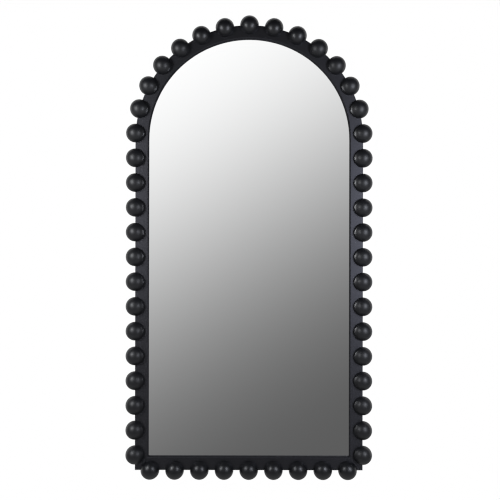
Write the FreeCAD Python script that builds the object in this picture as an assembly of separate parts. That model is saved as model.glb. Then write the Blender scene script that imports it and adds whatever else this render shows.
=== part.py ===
import FreeCAD, Part
import math
import os

from FreeCAD import Vector

# Arched wall mirror: a painted frame edged with turned balls, glass and a board in its back,
# and two folded straps with swinging rings to hang it by.
# Sizes are in millimetres. X runs across, Y from the viewer towards the wall, Z up.
# The origin lies on the wall, midway between the pivots of the two rings.

# Frame
FRAME_W = 610.0  # outside width, also the diameter of the arch
FRAME_H = 1192.0  # from the bottom edge to the crown
FRAME_T = 25.0  # from the face to the back
FACE_W = 35.0  # width of the face
LIP_T = 10.0  # depth from the face to the glass
OUTER_ARRIS_R = 1.0  # rounding of the outer front edge
INNER_ARRIS_R = 2.5  # rounding of the inner front edge

# Glass and backing board
GLASS_T = 4.0
GLASS_LAP = 7.0  # width of the rebate for the glass
GLASS_EDGE_FIT = 1.0  # room round the glass
GLASS_ARRIS = 0.5  # ground edge of the glass
BOARD_T = 4.0
BOARD_LAP = 7.0  # width of the ledge that the board is screwed to
BOARD_EDGE_FIT = 1.0  # room round the board

# Balls, centred on the frame's outer front edge
BALL_D = 50.0
BALL_GAP = 16.2  # clear space wanted between neighbours
CORNER_BALL_GAP = 7.3  # clear space between the two balls beside a lower corner
GLUE_LINE = 0.1  # between a ball and its seat

# Dowels in the balls and in the mitres
DOWEL_D = 8.0
DOWEL_L = 20.0
DOWEL_CHAMFER = 1.0
DOWEL_FIT = 0.1  # room round a dowel
DOWEL_END_FIT = 0.5  # room past each end of a dowel
MITRE_DOWEL_WALL = 2.0  # wood left between a mitre's dowel and the outer edge

# Pan-head screws
SCREW_D = 3.0
SCREW_L = 12.0  # under the head
SCREW_TIP_L = 3.0
SCREW_HEAD_D = 6.0
SCREW_HEAD_H = 2.0
SCREW_HEAD_RIM = 0.8  # straight part of the head's side
SCREW_FIT = 0.05  # room round a screw in the frame
SCREW_PASS_FIT = 0.2  # room round a screw in the board or a strap
RECESS_W = 0.7  # cross in the head
RECESS_L = 3.4
RECESS_DEPTH = 1.0
BOARD_SCREW_GAP = 195.0  # distance wanted between screws round the board
BOARD_SCREW_END = 95.0  # from a lower corner to the nearest board screws

# Strap hangers
STRAP_GAUGE = 0.8  # sheet thickness, two layers lie on each other below the knuckle
STRAP_W = 12.0
STRAP_SCREW_PITCH = 16.0

# Rings
RING_WIRE_D = 3.0
RING_SIDE_FIT = 1.5  # room between the strap and each leg
RING_LEG = 6.0  # from the pivot to the start of the round top
RING_BEND_R = 2.0  # bend of the wire beside the bar
RING_FIT = 0.06  # room round the bar in the knuckle
RING_SCREW_GAP = 4.5  # from the ring, turned down, to the upper screw's head

# Rubber bumpers
BUMPER_D = 12.0
BUMPER_H = 6.0  # sets the gap between the frame and the wall
BUMPER_EDGE_R = 1.5
BUMPER_RISE = 60.0  # from the bottom edge to the lower pair

# Values worked out from the sizes above
HALF_W = FRAME_W / 2
HALF_ARCH = HALF_W * math.pi / 2
STRAIGHT = FRAME_H - HALF_W
INNER_HALF_W = HALF_W - FACE_W
GLASS_INSET = FACE_W - GLASS_LAP
BACK_LAND = GLASS_INSET - BOARD_LAP
LAND_MIDDLE = BACK_LAND / 2
BOARD_SCREW_INSET = BACK_LAND + (BOARD_EDGE_FIT + BOARD_LAP) / 2

BACK_Y = -BUMPER_H
FACE_Y = BACK_Y - FRAME_T
GLASS_Y = FACE_Y + LIP_T
BOARD_Y = GLASS_Y + GLASS_T
BOARD_BACK_Y = BOARD_Y + BOARD_T
DOWEL_Y = (FACE_Y + BACK_Y) / 2

BALL_R = BALL_D / 2
BALL_SPACING = BALL_D + BALL_GAP
BALL_END = (BALL_D + CORNER_BALL_GAP) / math.sqrt(2)
BALL_RUN = HALF_ARCH + STRAIGHT - BALL_END
BALL_PITCH = BALL_RUN / round(BALL_RUN / BALL_SPACING)

DOWEL_POCKET_R = DOWEL_D / 2 + DOWEL_FIT
DOWEL_POCKET_HALF = DOWEL_L / 2 + DOWEL_END_FIT
MITRE_DOWEL_INSET = (DOWEL_POCKET_HALF + DOWEL_POCKET_R) / math.sqrt(2) + MITRE_DOWEL_WALL

RING_WIRE_R = RING_WIRE_D / 2
RING_HALF_W = STRAP_W / 2 + RING_SIDE_FIT + RING_WIRE_R
RING_REACH = RING_LEG + RING_HALF_W + RING_WIRE_R
STRAP_T = 2 * STRAP_GAUGE
KNUCKLE_BORE_R = RING_WIRE_R + RING_FIT
KNUCKLE_R = KNUCKLE_BORE_R + STRAP_GAUGE
UPPER_SCREW_DROP = RING_REACH + RING_SCREW_GAP + SCREW_HEAD_D / 2
LOWER_SCREW_DROP = UPPER_SCREW_DROP + STRAP_SCREW_PITCH
HANGER_X = HALF_W - LAND_MIDDLE

# Each strap's screws lie midway between the first two balls below the arch, clear of their dowels
FIRST_STRAIGHT_BALL = math.ceil(HALF_ARCH / BALL_PITCH)
STRAP_PLACE = (FIRST_STRAIGHT_BALL + FIRST_STRAIGHT_BALL + 1) / 2 * BALL_PITCH
SPRING_Z = STRAP_PLACE - HALF_ARCH - (UPPER_SCREW_DROP + LOWER_SCREW_DROP) / 2
BOTTOM_Z = SPRING_Z - STRAIGHT

ACROSS = Vector(1, 0, 0)
TO_WALL = Vector(0, 1, 0)
UP = Vector(0, 0, 1)
SIDES = ((-1, "left"), (1, "right"))
ON_PLANE = 1e-6


def outline(inset):
    """Closed arched wire in the plane y = 0, drawn in from the frame's outside."""
    half = HALF_W - inset
    left_foot = Vector(-half, 0, BOTTOM_Z + inset)
    right_foot = Vector(half, 0, BOTTOM_Z + inset)
    left_spring = Vector(-half, 0, SPRING_Z)
    right_spring = Vector(half, 0, SPRING_Z)
    crown = Vector(0, 0, SPRING_Z + half)
    return Part.Wire([
        Part.LineSegment(left_foot, right_foot).toShape(),
        Part.LineSegment(right_foot, right_spring).toShape(),
        Part.Arc(right_spring, crown, left_spring).toShape(),
        Part.LineSegment(left_spring, left_foot).toShape(),
    ])


def slab(inset, front, back):
    """Solid of the arched outline between two depths."""
    face = Part.Face(outline(inset))
    face.translate(TO_WALL * front)
    return face.extrude(TO_WALL * (back - front))


def turned(profile):
    """Solid of revolution about the Y axis, from the edges of its half section."""
    return Part.Face(Part.Wire(profile)).revolve(Vector(0, 0, 0), TO_WALL, 360)


def lines(*points):
    """Straight edges through (radius, y) points."""
    places = [Vector(radius, y, 0) for radius, y in points]
    return [Part.LineSegment(a, b).toShape() for a, b in zip(places, places[1:])]


def edge_place(distance, side):
    """Point on the frame's outer edge, so far from the crown down one side, and the way out of it."""
    if distance < HALF_ARCH:
        angle = distance / HALF_W
        out = Vector(side * math.sin(angle), 0, math.cos(angle))
        return out * HALF_W + UP * SPRING_Z, out
    return Vector(side * HALF_W, 0, SPRING_Z + HALF_ARCH - distance), ACROSS * side


def edge_places(spacing, end):
    """Even places all round the outer edge, as (name, point, way out)."""
    places = [("crown", *edge_place(0, 1))]
    run = HALF_ARCH + STRAIGHT - end
    steps = round(run / spacing)
    for side, word in SIDES:
        for step in range(1, steps + 1):
            places.append((f"{word}_{step:02d}", *edge_place(run * step / steps, side)))
    row = FRAME_W - 2 * end
    steps = round(row / spacing)
    for step in range(steps + 1):
        point = Vector(row * step / steps - row / 2, 0, BOTTOM_Z)
        places.append((f"bottom_{step + 1:02d}", point, -UP))
    return places


BALL_PLACES = edge_places(BALL_SPACING, BALL_END)
BOARD_SCREW_PLACES = edge_places(BOARD_SCREW_GAP, BOARD_SCREW_END)


def dowel_places():
    """Middle and direction of every dowel: through each ball's seat, and square to each mitre."""
    places = [(point + TO_WALL * DOWEL_Y, out) for name, point, out in BALL_PLACES]
    for side, word in SIDES:
        x = side * (HALF_W - MITRE_DOWEL_INSET)
        middle = Vector(x, DOWEL_Y, BOTTOM_Z + MITRE_DOWEL_INSET)
        places.append((middle, (ACROSS * side + UP).normalize()))
    return places


def dowel_pocket(middle, out):
    """Room for one dowel, half in each of the two pieces that it joins."""
    start = middle - out * DOWEL_POCKET_HALF
    return Part.makeCylinder(DOWEL_POCKET_R, 2 * DOWEL_POCKET_HALF, start, out)


def screw_places():
    """Point under the head of every screw: round the backing board, then in the straps."""
    places = []
    for name, point, out in BOARD_SCREW_PLACES:
        places.append(point - out * BOARD_SCREW_INSET + TO_WALL * BOARD_BACK_Y)
    for side, word in SIDES:
        for drop in (UPPER_SCREW_DROP, LOWER_SCREW_DROP):
            places.append(Vector(side * HANGER_X, BACK_Y + STRAP_T, -drop))
    return places


def screw_holes(fit):
    """Room for the shanks of all the screws."""
    return [
        Part.makeCylinder(SCREW_D / 2 + fit, SCREW_L, head, -TO_WALL) for head in screw_places()
    ]


def front_edges(shape, reach):
    """Edges in the plane of the face that lie no further across than reach."""
    edges = []
    for edge in shape.Edges:
        box = edge.BoundBox
        on_face = max(abs(box.YMin - FACE_Y), abs(box.YMax - FACE_Y)) < ON_PLANE
        if on_face and max(-box.XMin, box.XMax) < reach + ON_PLANE:
            edges.append(edge)
    return edges


def mitre_wedge():
    """The space below the two mitres, which the bottom rail fills."""
    inner_z = BOTTOM_Z + FACE_W
    corners = [
        Vector(-HALF_W, FACE_Y, BOTTOM_Z),
        Vector(HALF_W, FACE_Y, BOTTOM_Z),
        Vector(INNER_HALF_W, FACE_Y, inner_z),
        Vector(-INNER_HALF_W, FACE_Y, inner_z),
    ]
    face = Part.Face(Part.makePolygon(corners + corners[:1]))
    return face.extrude(TO_WALL * FRAME_T)


def frame_members():
    """The arched frame and the bottom rail: one stepped section all round, parted at the mitres."""
    hoop = slab(0, FACE_Y, BACK_Y)
    hoop = hoop.makeFillet(OUTER_ARRIS_R, front_edges(hoop, HALF_W))
    hoop = hoop.cut(slab(FACE_W, FACE_Y, BACK_Y))
    hoop = hoop.makeFillet(INNER_ARRIS_R, front_edges(hoop, INNER_HALF_W))
    hoop = hoop.cut(slab(GLASS_INSET, GLASS_Y, BACK_Y))
    hoop = hoop.cut(slab(BACK_LAND, BOARD_Y, BACK_Y))
    hoop = hoop.cut([dowel_pocket(middle, out) for middle, out in dowel_places()])
    hoop = hoop.cut(screw_holes(SCREW_FIT))
    wedge = mitre_wedge()
    return hoop.cut(wedge), hoop.common(wedge)


def ball(point, out):
    """A turned ball, notched to sit over the frame's edge and bored for its dowel."""
    free_way = (out - TO_WALL).normalize()
    sphere = Part.makeSphere(BALL_R, point + TO_WALL * FACE_Y, free_way)
    seat = slab(-GLUE_LINE, FACE_Y - GLUE_LINE, FACE_Y + BALL_D)
    return sphere.cut([seat, dowel_pocket(point + TO_WALL * DOWEL_Y, out)])


def dowel(middle, out):
    """A chamfered wooden pin."""
    radius = DOWEL_D / 2
    end_r = radius - DOWEL_CHAMFER
    half = DOWEL_L / 2
    side = half - DOWEL_CHAMFER
    section = [(0, -half), (end_r, -half), (radius, -side), (radius, side), (end_r, half), (0, half)]
    pin = turned(lines(*section, section[0]))
    pin.Placement = FreeCAD.Placement(middle, FreeCAD.Rotation(TO_WALL, out))
    return pin


def screw(head):
    """A pan-head wood screw with a cross recess, driven away from the wall."""
    radius = SCREW_D / 2
    head_r = SCREW_HEAD_D / 2
    rise = SCREW_HEAD_H - SCREW_HEAD_RIM
    dome_r = (head_r**2 + rise**2) / (2 * rise)
    lean = math.asin(head_r / dome_r) / 2
    tip = (0, -SCREW_L)
    shank_end = (radius, SCREW_TIP_L - SCREW_L)
    top = Vector(0, SCREW_HEAD_H, 0)
    middle = Vector(dome_r * math.sin(lean), SCREW_HEAD_H - dome_r * (1 - math.cos(lean)), 0)
    dome = Part.Arc(Vector(head_r, SCREW_HEAD_RIM, 0), middle, top).toShape()
    sides = lines(tip, shank_end, (radius, 0), (head_r, 0), (head_r, SCREW_HEAD_RIM))
    body = turned(sides + [dome] + lines((0, SCREW_HEAD_H), tip))
    for width, height in ((RECESS_L, RECESS_W), (RECESS_W, RECESS_L)):
        corner = Vector(-width / 2, SCREW_HEAD_H - RECESS_DEPTH, -height / 2)
        body = body.cut(Part.makeBox(width, RECESS_DEPTH, height, corner))
    body.translate(head)
    return body


def strap(side):
    """A steel strip folded round the ring's bar, its two layers screwed to the frame's back."""
    half = STRAP_W / 2
    left_top = Vector(-half, 0, 0)
    right_top = Vector(half, 0, 0)
    left_end = left_top - UP * LOWER_SCREW_DROP
    right_end = right_top - UP * LOWER_SCREW_DROP
    tail = -UP * (LOWER_SCREW_DROP + half)
    sheet = Part.Wire([
        Part.LineSegment(left_end, left_top).toShape(),
        Part.LineSegment(left_top, right_top).toShape(),
        Part.LineSegment(right_top, right_end).toShape(),
        Part.Arc(right_end, tail, left_end).toShape(),
    ])
    plate = Part.Face(sheet).extrude(TO_WALL * STRAP_T)
    bar_start = left_top + TO_WALL * KNUCKLE_R
    knuckle = Part.makeCylinder(KNUCKLE_R, STRAP_W, bar_start, ACROSS)
    bore = Part.makeCylinder(KNUCKLE_BORE_R, STRAP_W, bar_start, ACROSS)
    folded = plate.fuse(knuckle).cut(bore).removeSplitter()
    folded.translate(Vector(side * HANGER_X, BACK_Y, 0))
    return folded.cut(screw_holes(SCREW_PASS_FIT))


def bend(start, heading, centre, angle):
    """A bend of the ring's wire in the plane of the ring."""
    disc = Part.Face(Part.Wire(Part.makeCircle(RING_WIRE_R, start, heading)))
    return disc.revolve(centre, TO_WALL, angle)


def ring(side):
    """A D-shaped wire ring standing up from the bar that it turns on."""
    bar_half = RING_HALF_W - RING_BEND_R
    leg = RING_LEG - RING_BEND_R
    pieces = [Part.makeCylinder(RING_WIRE_R, 2 * bar_half, -ACROSS * bar_half, ACROSS)]
    for way in (-1, 1):
        bar_end = ACROSS * way * bar_half
        leg_start = Vector(way * RING_HALF_W, 0, RING_BEND_R)
        pieces.append(bend(bar_end, ACROSS, bar_end + UP * RING_BEND_R, -90 * way))
        pieces.append(Part.makeCylinder(RING_WIRE_R, leg, leg_start, UP))
    round_start = Vector(RING_HALF_W, 0, RING_LEG)
    pieces.append(bend(round_start, UP, UP * RING_LEG, -180))
    whole = pieces[0].fuse(pieces[1:]).removeSplitter()
    whole.translate(Vector(side * HANGER_X, BACK_Y + KNUCKLE_R, 0))
    return whole


def bumper_places():
    """Middles of the four bumpers: on the arch at half its rise round, and low on the sides."""
    places = []
    for side, word in SIDES:
        for distance in (HALF_ARCH / 2, HALF_ARCH + STRAIGHT - BUMPER_RISE):
            point, out = edge_place(distance, side)
            places.append(point - out * LAND_MIDDLE + TO_WALL * BACK_Y)
    return places


def bumper(middle):
    """A rubber pad on the frame's back, with its flat face on the wall."""
    radius = BUMPER_D / 2
    flat_r = radius - BUMPER_EDGE_R
    side_y = BUMPER_H - BUMPER_EDGE_R
    lean = BUMPER_EDGE_R * math.sqrt(1 / 2)
    edge = Part.Arc(
        Vector(radius, side_y, 0),
        Vector(flat_r + lean, side_y + lean, 0),
        Vector(flat_r, BUMPER_H, 0),
    ).toShape()
    foot = lines((0, 0), (radius, 0), (radius, side_y))
    pad = turned(foot + [edge] + lines((flat_r, BUMPER_H), (0, BUMPER_H), (0, 0)))
    pad.translate(middle)
    return pad


def mirror_glass():
    """The silvered pane, its edges ground all round."""
    pane = slab(GLASS_INSET + GLASS_EDGE_FIT, GLASS_Y, BOARD_Y)
    flat_edges = [edge for edge in pane.Edges if edge.BoundBox.YLength < GLASS_ARRIS]
    return pane.makeChamfer(GLASS_ARRIS, flat_edges)


def backing_board():
    """The board that holds the glass in, screwed to the ledge of the frame."""
    board = slab(BACK_LAND + BOARD_EDGE_FIT, BOARD_Y, BOARD_BACK_Y)
    return board.cut(screw_holes(SCREW_PASS_FIT))


def save(node, *solids):
    """Write a node's solid, or its group of like solids."""
    shape = solids[0] if len(solids) == 1 else Part.makeCompound(list(solids))
    shape.exportStep(f"parts/{node}.step")


os.makedirs("parts", exist_ok=True)
arched_frame, bottom_rail = frame_members()
save("arched_frame", arched_frame)
save("bottom_rail", bottom_rail)
for place, point, out in BALL_PLACES:
    save(f"ball_{place}", ball(point, out))
save("dowels", *[dowel(middle, out) for middle, out in dowel_places()])
save("mirror_glass", mirror_glass())
save("backing_board", backing_board())
save("screws", *[screw(head) for head in screw_places()])
save("hanger_straps", *[strap(side) for side, word in SIDES])
for side, word in SIDES:
    save(f"ring_{word}", ring(side))
save("bumpers", *[bumper(middle) for middle in bumper_places()])
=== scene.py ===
import math

import bpy
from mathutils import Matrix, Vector


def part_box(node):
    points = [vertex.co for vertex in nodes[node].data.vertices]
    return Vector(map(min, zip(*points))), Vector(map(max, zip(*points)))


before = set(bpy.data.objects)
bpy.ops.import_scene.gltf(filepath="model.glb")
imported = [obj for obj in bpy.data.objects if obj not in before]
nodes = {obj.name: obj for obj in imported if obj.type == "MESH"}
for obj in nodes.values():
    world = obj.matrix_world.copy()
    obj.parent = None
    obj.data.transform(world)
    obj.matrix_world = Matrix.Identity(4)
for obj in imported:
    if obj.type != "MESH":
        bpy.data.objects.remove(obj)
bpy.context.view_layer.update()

scene = bpy.context.scene
scene.view_settings.view_transform = "Standard"

# Crisp gloss and edges, with no grain or stray bright dots in the black paint
scene.cycles.blur_glossy = 0.0
scene.cycles.filter_width = 1.2
scene.cycles.denoising_input_passes = "RGB"
scene.cycles.sample_clamp_indirect = 2.0

# Lengths are in metres. The frame's face and the front of the glass look along -Y
FACE_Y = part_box("arched_frame")[0].y
GLASS_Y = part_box("mirror_glass")[0].y

# Camera: square to the face, about level with the middle of the glass
CAMERA_DISTANCE = 2.0
CAMERA_X = 0.0024
CAMERA_Z = -0.2450
CAMERA_ROLL = math.radians(-0.11)
PICTURE_WIDTH = 1.339
SENSOR_W = 36.0

# Lamps: a level of 1 is as bright as white
SOFTBOXES = {
    "softbox_left": {
        "place": (-0.955, -0.952, 0.03),
        "aim": (-1.0, FACE_Y, -0.23),
        "size": (0.53, 0.68),
        "level": 13.6,
        "tint": (0.99, 1.0, 1.03),
    },
    "softbox_right": {
        "place": (0.80, -1.031, -0.12),
        "aim": (0.79, FACE_Y, -0.18),
        "size": (0.48, 0.76),
        "level": 10.8,
        "tint": (0.96, 0.99, 1.09),
    },
}
BACK_LAMP_X = 2.4
BACK_LAMP_Y = 2.2
BACK_LAMP_Z = 1.6
BACK_LAMP_SIZE = (2.0, 2.0)
BACK_LAMP_LEVEL = 6.0

# Each softbox as the balls across the glass see it in the glass
FAR_BALLS = {"softbox_left": "ball_right", "softbox_right": "ball_left"}
IN_GLASS_LEVEL = {"softbox_left": 19.5, "softbox_right": 11.6}
PANE = ("mirror_glass", "backing_board")

# Weak light from below each softbox, on the frame alone
LOW_LEVEL = {"softbox_left": 1.7, "softbox_right": 1.0}
LOW_Z = -0.95
PAINTED_FRAME = ("arched_frame", "bottom_rail")

# What the glass mirrors: display levels that rise along a slope of the ray's x and z
GLASS_SLOPE_X = -0.79
GLASS_SLOPE_Z = 1.28
GLASS_RAMP = (-0.425, 0.425, 0.362, 1.0)
DISPLAY_OFFSET = 0.055
DISPLAY_POWER = 2.4
GLASS_SHARE = 0.96

# The room round the part: each ramp has two places along the ray's x, y or z, then the levels there
FILL_LEVEL = 0.2
BACKDROP_START = (0.1, 0.5, 0.0, 1.0)
BACKDROP_CORE = (0.55, 0.85, 1.0, 0.3)
BACKDROP_ACROSS = (-0.9, 0.9, 1.4, 1.2)
BACKDROP_FOOT = (-0.6, -0.1, 0.15, 1.0)
FRONT = (-0.6, -0.85, 0.3, 0.12)
FRONT_END = (0.0, 0.5, 1.0, 0.2)
BELOW = (-0.2, -0.7, 0.0, 1.0)
ABOVE = (0.05, 0.5, 0.19, 0.02)

# Paint that looks into the glass finds a dark room there: such rays have bounced twice
DARK_ROOM_LEVEL = 0.1
OVER_ONE_BOUNCE = 1.5

# Floor: the camera sees it turn white between two distances from the part's origin
FLOOR_Z = -1.5
FLOOR_SIZE = 12.0
FLOOR_FADE = (1.6, 2.2)
FLOOR_GREY = (0.8, 0.8, 0.8, 1)
FLOOR_ROUGHNESS = 0.9

# Black paint of the frame, and of the balls
FRAME_FILM = {
    "dark": (0.0022, 0.0021, 0.0018, 1),
    "light": (0.0034, 0.0033, 0.0030, 1),
    "ior": 1.54,
    "tint": (0.86, 0.87, 1.0, 1),
}
BALL_FILM = {
    "dark": (0.004, 0.0042, 0.0055, 1),
    "light": (0.0055, 0.0058, 0.0072, 1),
    "ior": 1.5,
    "tint": (0.98, 0.99, 1.0, 1),
}

# Balls with a glossier film: the bottom row, the crown and the two on each side of it
GLOSSY_BALLS = ("ball_bottom", "ball_crown", "ball_left_01", "ball_left_02", "ball_right_01", "ball_right_02")

# Paint is dry on the back and on the inner edge, where the spray hardly reached
DRY_ROUGHNESS = 0.72
INNER_ROUGHNESS = 0.85
INNER_RAMP = (-0.04, -0.18, 0.0, 1.0)
OPENING_MIDDLE = (0.0, 0.0, CAMERA_Z)
FACING_RAMP = (0.5, 0.9, 0.0, 1.0)
SPECK_SHARE = 0.3

# Colours: where there are two, the finish wanders from the first to the second
DRY_PAINT = ((0.014, 0.013, 0.012, 1), (0.045, 0.038, 0.03, 1))
SILVER = ((0.955, 0.962, 0.96, 1), (0.965, 0.968, 0.968, 1))
GROUND_EDGE = ((0.16, 0.26, 0.22, 1), (0.25, 0.36, 0.31, 1))
BACK_PAINT = ((0.2, 0.21, 0.21, 1), (0.26, 0.27, 0.27, 1))
BOARD = ((0.185, 0.11, 0.062, 1), (0.235, 0.146, 0.084, 1))
BOARD_CHIP = (0.3, 0.196, 0.118, 1)
BOARD_FIBRE = (0.34, 0.23, 0.14, 1)
BOARD_FLECK = (0.07, 0.04, 0.022, 1)
BEECH = ((0.42, 0.27, 0.14, 1), (0.6, 0.43, 0.26, 1))
ZINC = ((0.5, 0.5, 0.49, 1), (0.68, 0.68, 0.66, 1))
RUBBER = ((0.016, 0.016, 0.016, 1), (0.03, 0.03, 0.03, 1))
WHITE = (1, 1, 1, 1)

# Most of a noise pattern's values lie between these two
NOISE_LOW = 0.3
NOISE_HIGH = 0.7

# Sockets of a mix node for colours and for numbers: the two inputs and the output
COLOUR_SOCKETS = (6, 7, 2)
NUMBER_SOCKETS = (2, 3, 0)


# Node helpers
def add(tree, kind, **settings):
    """A new node with its settings."""
    node = tree.nodes.new(kind)
    for name, value in settings.items():
        setattr(node, name, value)
    return node


def put(tree, socket, value):
    """Sets a socket to a number or colour, or links it to another node's output."""
    if isinstance(value, bpy.types.NodeSocket):
        tree.links.new(value, socket)
    else:
        socket.default_value = value


def math_node(tree, operation, a, b):
    node = add(tree, "ShaderNodeMath", operation=operation)
    put(tree, node.inputs[0], a)
    put(tree, node.inputs[1], b)
    return node.outputs[0]


def multiply(tree, a, b):
    return math_node(tree, "MULTIPLY", a, b)


def plus(tree, a, b):
    return math_node(tree, "ADD", a, b)


def vector_node(tree, operation, a, b, output="Vector"):
    node = add(tree, "ShaderNodeVectorMath", operation=operation)
    put(tree, node.inputs[0], a)
    put(tree, node.inputs[1], b)
    return node.outputs[output]


def ramp(tree, value, low, high, to_low, to_high, kind="LINEAR"):
    """Carries a value from one range over to another, and holds it at the ends."""
    node = add(tree, "ShaderNodeMapRange", interpolation_type=kind)
    for socket, item in zip(node.inputs, (value, low, high, to_low, to_high)):
        put(tree, socket, item)
    return node.outputs[0]


def smooth(tree, value, steps):
    """A ramp that eases in and out."""
    return ramp(tree, value, *steps, kind="SMOOTHSTEP")


def follow(tree, pattern, low, high):
    """A number that goes from low to high as a noise pattern rises."""
    return ramp(tree, pattern, NOISE_LOW, NOISE_HIGH, low, high)


def mix(tree, factor, a, b, kind, sockets):
    first, second, result = sockets
    node = add(tree, "ShaderNodeMix", data_type=kind)
    put(tree, node.inputs["Factor"], factor)
    put(tree, node.inputs[first], a)
    put(tree, node.inputs[second], b)
    return node.outputs[result]


def mix_colour(tree, factor, a, b):
    return mix(tree, factor, a, b, "RGBA", COLOUR_SOCKETS)


def mix_number(tree, factor, a, b):
    return mix(tree, factor, a, b, "FLOAT", NUMBER_SOCKETS)


def mottle(tree, pattern, a, b, low=NOISE_LOW, high=NOISE_HIGH, share=1.0):
    """Colour a where the pattern is low, going over to a share of colour b where it is high."""
    return mix_colour(tree, ramp(tree, pattern, low, high, 0.0, share), a, b)


def noise(tree, coords, scale, detail=3.0, roughness=0.55, stretch=(1, 1, 1)):
    """A random pattern from 0 to 1, with that many waves to the metre."""
    mapping = add(tree, "ShaderNodeMapping")
    put(tree, mapping.inputs["Vector"], coords)
    mapping.inputs["Scale"].default_value = stretch
    node = add(tree, "ShaderNodeTexNoise")
    put(tree, node.inputs["Vector"], mapping.outputs[0])
    node.inputs["Scale"].default_value = scale
    node.inputs["Detail"].default_value = detail
    node.inputs["Roughness"].default_value = roughness
    return node.outputs["Fac"]


def bump(tree, height, depth, under=None):
    """The surface's direction as a pattern of that depth bends it, on top of another bump if there is one."""
    node = add(tree, "ShaderNodeBump")
    node.inputs["Strength"].default_value = 1.0
    node.inputs["Distance"].default_value = depth
    put(tree, node.inputs["Height"], height)
    if under is not None:
        put(tree, node.inputs["Normal"], under)
    return node.outputs[0]


def new_material(name):
    """An empty material, with its tree, shader and coordinates in metres."""
    plain = bpy.data.materials.get(name)
    if plain:
        plain.name = name + "_plain"
    material = bpy.data.materials.new(name)
    material.use_nodes = True
    tree = material.node_tree
    shader = tree.nodes["Principled BSDF"]
    coords = add(tree, "ShaderNodeTexCoord").outputs["Object"]
    return material, tree, shader, coords


def part_normal(tree):
    """The surface's direction in the part's own axes."""
    geometry = add(tree, "ShaderNodeNewGeometry")
    turn = add(tree, "ShaderNodeVectorTransform", vector_type="NORMAL")
    turn.convert_from = "WORLD"
    turn.convert_to = "OBJECT"
    put(tree, turn.inputs[0], geometry.outputs["Normal"])
    return turn.outputs[0]


def facing(tree, sign):
    """1 where the surface faces along Y of the part, or against it where sign is -1, and 0 elsewhere."""
    split = add(tree, "ShaderNodeSeparateXYZ")
    put(tree, split.inputs[0], part_normal(tree))
    return smooth(tree, multiply(tree, split.outputs["Y"], sign), FACING_RAMP)


def inward(tree, coords):
    """1 on the edge that faces the middle of the opening, 0 on the face and the outside."""
    away = vector_node(tree, "SUBTRACT", coords, OPENING_MIDDLE)
    level = vector_node(tree, "MULTIPLY", away, (1, 0, 1))
    outward = vector_node(tree, "DOT_PRODUCT", level, part_normal(tree), output="Value")
    return smooth(tree, outward, INNER_RAMP)


# Materials
def black_paint(name, dark, light, ior, tint, roughness, peel, dry_inside=False):
    """Sprayed satin black with clouds and a fine orange peel."""
    material, tree, shader, coords = new_material(name)
    clouds = noise(tree, coords, scale=14.0, detail=4.0)
    sheen = noise(tree, coords, scale=260.0)
    ripples = noise(tree, coords, scale=420.0, detail=2.0)
    specks = noise(tree, coords, scale=900.0, detail=2.0)
    back = facing(tree, 1)
    film = mottle(tree, clouds, dark, light)
    dry = mottle(tree, specks, *DRY_PAINT, low=0.45, high=0.72)
    put(tree, shader.inputs["Base Color"], mix_colour(tree, back, film, dry))
    rough = mix_number(tree, back, follow(tree, sheen, *roughness), DRY_ROUGHNESS)
    if dry_inside:
        rough = mix_number(tree, inward(tree, coords), rough, INNER_ROUGHNESS)
    put(tree, shader.inputs["Roughness"], rough)
    shader.inputs["IOR"].default_value = ior
    shader.inputs["Specular Tint"].default_value = tint
    waves = bump(tree, ripples, depth=peel)
    put(tree, shader.inputs["Normal"], bump(tree, specks, depth=peel * SPECK_SHARE, under=waves))
    return material


def mirror_silver():
    """Silvered float glass: clear at the front, pale green along its ground edge, grey paint behind."""
    material, tree, shader, coords = new_material("mirror")
    back = facing(tree, 1)
    front = facing(tree, -1)
    silver = mix_colour(tree, noise(tree, coords, scale=5.0, detail=2.0), *SILVER)
    edge = mix_colour(tree, noise(tree, coords, scale=700.0, detail=2.0), *GROUND_EDGE)
    paint = mix_colour(tree, noise(tree, coords, scale=60.0, detail=4.0), *BACK_PAINT)
    pane = mix_colour(tree, front, edge, silver)
    put(tree, shader.inputs["Base Color"], mix_colour(tree, back, pane, paint))
    put(tree, shader.inputs["Metallic"], front)
    put(tree, shader.inputs["Roughness"], mix_number(tree, front, 0.55, 0.0))
    return material


def hardboard():
    """Pressed brown fibre board, its smooth side out."""
    material, tree, shader, coords = new_material("hardboard")
    clouds = noise(tree, coords, scale=9.0, detail=6.0, roughness=0.65)
    chips = noise(tree, coords, scale=110.0, detail=5.0, roughness=0.7)
    fibres = noise(tree, coords, scale=620.0, detail=4.0, roughness=0.7, stretch=(1.0, 1.0, 0.6))
    flecks = noise(tree, coords, scale=1500.0, detail=2.0)
    brown = mottle(tree, clouds, *BOARD, low=0.25, high=0.75)
    brown = mottle(tree, chips, brown, BOARD_CHIP, low=0.42, high=0.62, share=0.55)
    brown = mottle(tree, fibres, brown, BOARD_FIBRE, low=0.52, high=0.75, share=0.5)
    brown = mottle(tree, flecks, brown, BOARD_FLECK, low=0.6, high=0.72, share=0.6)
    put(tree, shader.inputs["Base Color"], brown)
    put(tree, shader.inputs["Roughness"], follow(tree, clouds, 0.5, 0.68))
    fuzz = bump(tree, fibres, depth=0.00006)
    put(tree, shader.inputs["Normal"], bump(tree, flecks, depth=0.00003, under=fuzz))
    return material


def beech():
    """Raw pale dowel wood with its short flecks."""
    material, tree, shader, coords = new_material("beech")
    grain = noise(tree, coords, scale=240.0, detail=4.0, roughness=0.6, stretch=(1.0, 0.2, 1.0))
    put(tree, shader.inputs["Base Color"], mottle(tree, grain, *BEECH, low=0.35, high=0.65))
    put(tree, shader.inputs["Roughness"], follow(tree, grain, 0.55, 0.7))
    put(tree, shader.inputs["Normal"], bump(tree, grain, depth=0.00005))
    return material


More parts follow.
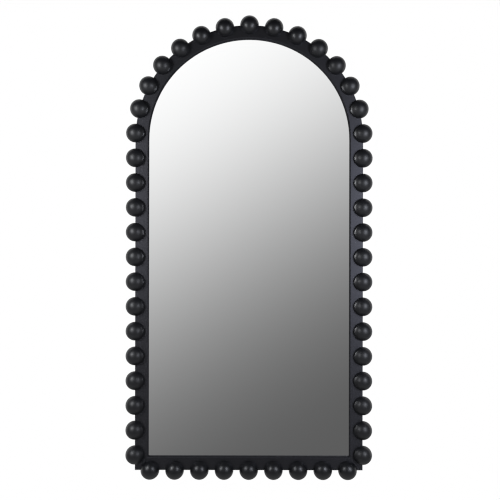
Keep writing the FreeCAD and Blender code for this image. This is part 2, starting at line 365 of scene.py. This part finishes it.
def zinc_steel():
    """Bright zinc plate with a soft cloudiness and the drawing lines of the strip."""
    material, tree, shader, coords = new_material("zinc_steel")
    clouds = noise(tree, coords, scale=150.0, detail=4.0, roughness=0.6)
    lines = noise(tree, coords, scale=2600.0, detail=2.0, roughness=0.5, stretch=(1.0, 1.0, 0.04))
    put(tree, shader.inputs["Base Color"], mottle(tree, clouds, *ZINC))
    shader.inputs["Metallic"].default_value = 1.0
    put(tree, shader.inputs["Roughness"], follow(tree, clouds, 0.26, 0.42))
    put(tree, shader.inputs["Normal"], bump(tree, lines, depth=0.00002))
    return material


def rubber():
    """Matt black moulded rubber."""
    material, tree, shader, coords = new_material("rubber")
    grain = noise(tree, coords, scale=1800.0)
    put(tree, shader.inputs["Base Color"], mix_colour(tree, grain, *RUBBER))
    put(tree, shader.inputs["Roughness"], follow(tree, grain, 0.7, 0.88))
    put(tree, shader.inputs["Normal"], bump(tree, grain, depth=0.00004))
    return material


def dress_nodes():
    """Gives every CAD node the finish of its real material."""
    frame_paint = black_paint(
        "painted_frame", **FRAME_FILM, roughness=(0.40, 0.44), peel=0.000006, dry_inside=True
    )
    ball_paint = black_paint("painted_balls", **BALL_FILM, roughness=(0.43, 0.48), peel=0.00002)
    glossy_paint = black_paint("painted_end_balls", **BALL_FILM, roughness=(0.36, 0.40), peel=0.00001)
    finish = {
        "arched_frame": frame_paint,
        "bottom_rail": frame_paint,
        "mirror_glass": mirror_silver(),
        "backing_board": hardboard(),
        "dowels": beech(),
        "bumpers": rubber(),
    }
    zinc = zinc_steel()
    for name, obj in nodes.items():
        if name.startswith(GLOSSY_BALLS):
            material = glossy_paint
        elif name.startswith("ball_"):
            material = ball_paint
        else:
            material = finish.get(name, zinc)
        obj.data.materials.clear()
        obj.data.materials.append(material)


# Studio
def glass_view(tree, dx, dz):
    """What the glass shows: white at the upper left, running to a dark grey at the lower right."""
    slope = plus(tree, multiply(tree, dx, GLASS_SLOPE_X), multiply(tree, dz, GLASS_SLOPE_Z))
    display = smooth(tree, slope, GLASS_RAMP)
    lifted = math_node(tree, "DIVIDE", plus(tree, display, DISPLAY_OFFSET), 1 + DISPLAY_OFFSET)
    light = math_node(tree, "POWER", lifted, DISPLAY_POWER)
    return math_node(tree, "DIVIDE", light, GLASS_SHARE)


def room_view(tree, dx, dy, dz):
    """What satin paint shows: a white backdrop, a dim front and floor, dark sides."""
    backdrop = multiply(tree, smooth(tree, dy, BACKDROP_START), smooth(tree, dy, BACKDROP_CORE))
    backdrop = multiply(tree, backdrop, ramp(tree, dx, *BACKDROP_ACROSS))
    backdrop = multiply(tree, backdrop, smooth(tree, dz, BACKDROP_FOOT))
    front = multiply(tree, smooth(tree, dy, FRONT), smooth(tree, dy, FRONT_END))
    below = multiply(tree, front, smooth(tree, dz, BELOW))
    return plus(tree, backdrop, plus(tree, below, smooth(tree, dz, ABOVE)))


def studio_world():
    """White to the camera, a soft fill for matt surfaces, a room for gloss, a gradient for the glass."""
    world = bpy.data.worlds.new("studio")
    scene.world = world
    world.use_nodes = True
    world.cycles.sampling_method = "NONE"
    tree = world.node_tree
    path = add(tree, "ShaderNodeLightPath").outputs
    split = add(tree, "ShaderNodeSeparateXYZ")
    put(tree, split.inputs[0], add(tree, "ShaderNodeTexCoord").outputs["Generated"])
    dx, dy, dz = split.outputs
    twice = math_node(tree, "GREATER_THAN", path["Glossy Depth"], OVER_ONE_BOUNCE)
    mirrored = mix_number(tree, twice, glass_view(tree, dx, dz), DARK_ROOM_LEVEL)
    strength = mix_number(tree, path["Is Glossy Ray"], FILL_LEVEL, room_view(tree, dx, dy, dz))
    strength = mix_number(tree, path["Is Singular Ray"], strength, mirrored)
    strength = mix_number(tree, path["Is Camera Ray"], strength, 1.0)
    background = tree.nodes["Background"]
    put(tree, background.inputs["Strength"], strength)
    background.inputs["Color"].default_value = WHITE


def lamp(name, place, aim, size, level, tint=(1, 1, 1), glossy=True):
    """A soft lamp turned to a point. No ray meets it by chance, so the glass doesn't show it."""
    width, height = size
    data = bpy.data.lights.new(name, "AREA")
    data.shape = "RECTANGLE"
    data.size = width
    data.size_y = height
    data.energy = level * math.pi * width * height
    data.color = tint
    data.cycles.use_multiple_importance_sampling = False
    obj = bpy.data.objects.new(name, data)
    scene.collection.objects.link(obj)
    obj.location = place
    obj.rotation_mode = "QUATERNION"
    obj.rotation_quaternion = (Vector(aim) - Vector(place)).to_track_quat("-Z", "Y")
    obj.visible_camera = False
    obj.visible_glossy = glossy
    return obj


def linked(name, members, state):
    """The nodes that a lamp takes in or leaves out."""
    collection = bpy.data.collections.new(name)
    for member in members:
        collection.objects.link(nodes[member])
    for item in collection.collection_objects:
        item.light_linking.link_state = state
    return collection


def in_glass(point):
    """Where a point in front of the glass is seen behind it."""
    x, y, z = point
    return x, 2 * GLASS_Y - y, z


def lowered(point):
    """The same point at the height of the low lamps."""
    return (*point[:2], LOW_Z)


def moved(softbox, move, level):
    """A softbox's settings with its place and aim moved and its level changed."""
    return dict(softbox, place=move(softbox["place"]), aim=move(softbox["aim"]), level=level)


def lamps():
    """Two softboxes in front, each with its image in the glass and a low lamp, and two soft lamps behind."""
    not_pane = linked("all_but_pane", PANE, "EXCLUDE")
    for name, softbox in SOFTBOXES.items():
        lamp(name, **softbox)
        thrown = lamp(name + "_in_glass", **moved(softbox, in_glass, IN_GLASS_LEVEL[name]))
        far_balls = [node for node in nodes if node.startswith(FAR_BALLS[name])]
        thrown.light_linking.receiver_collection = linked(name + "_far_balls", far_balls, "INCLUDE")
        thrown.light_linking.blocker_collection = not_pane
        low = lamp(name + "_low", **moved(softbox, lowered, LOW_LEVEL[name]))
        low.light_linking.receiver_collection = linked(name + "_low_frame", PAINTED_FRAME, "INCLUDE")
    for name, side in (("back_lamp_left", -1), ("back_lamp_right", 1)):
        place = (side * BACK_LAMP_X, BACK_LAMP_Y, BACK_LAMP_Z)
        aim = (0, FACE_Y, BACK_LAMP_Z)
        lamp(name, place, aim, BACK_LAMP_SIZE, BACK_LAMP_LEVEL, glossy=False)


def floor_finish():
    """Pale grey that turns white to the camera further out, and is clear from below."""
    material, tree, shader, coords = new_material("floor")
    shader.inputs["Base Color"].default_value = FLOOR_GREY
    shader.inputs["Roughness"].default_value = FLOOR_ROUGHNESS
    shader.inputs["Specular IOR Level"].default_value = 0.0
    length = add(tree, "ShaderNodeVectorMath", operation="LENGTH")
    put(tree, length.inputs[0], coords)
    away = smooth(tree, length.outputs["Value"], (*FLOOR_FADE, 0.0, 1.0))
    to_camera = add(tree, "ShaderNodeLightPath").outputs["Is Camera Ray"]
    from_above = add(tree, "ShaderNodeMixShader")
    put(tree, from_above.inputs[0], multiply(tree, away, to_camera))
    put(tree, from_above.inputs[1], shader.outputs[0])
    put(tree, from_above.inputs[2], add(tree, "ShaderNodeEmission").outputs[0])
    both = add(tree, "ShaderNodeMixShader")
    put(tree, both.inputs[0], add(tree, "ShaderNodeNewGeometry").outputs["Backfacing"])
    put(tree, both.inputs[1], from_above.outputs[0])
    put(tree, both.inputs[2], add(tree, "ShaderNodeBsdfTransparent").outputs[0])
    put(tree, tree.nodes["Material Output"].inputs["Surface"], both.outputs[0])
    return material


def floor():
    """A wide square under the part."""
    half = FLOOR_SIZE / 2
    corners = [(x, y, FLOOR_Z) for x, y in ((-half, -half), (half, -half), (half, half), (-half, half))]
    mesh = bpy.data.meshes.new("floor")
    mesh.from_pydata(corners, [], [(0, 1, 2, 3)])
    mesh.materials.append(floor_finish())
    obj = bpy.data.objects.new("floor", mesh)
    scene.collection.objects.link(obj)
    obj.visible_glossy = False


def camera():
    """A camera whose picture is PICTURE_WIDTH wide at the frame's face."""
    data = bpy.data.cameras.new("camera")
    data.sensor_width = SENSOR_W
    data.lens = SENSOR_W * CAMERA_DISTANCE / PICTURE_WIDTH
    obj = bpy.data.objects.new("camera", data)
    scene.collection.objects.link(obj)
    obj.location = (CAMERA_X, FACE_Y - CAMERA_DISTANCE, CAMERA_Z)
    obj.rotation_euler = (math.pi / 2, CAMERA_ROLL, 0.0)
    scene.camera = obj


dress_nodes()
studio_world()
lamps()
floor()
camera()
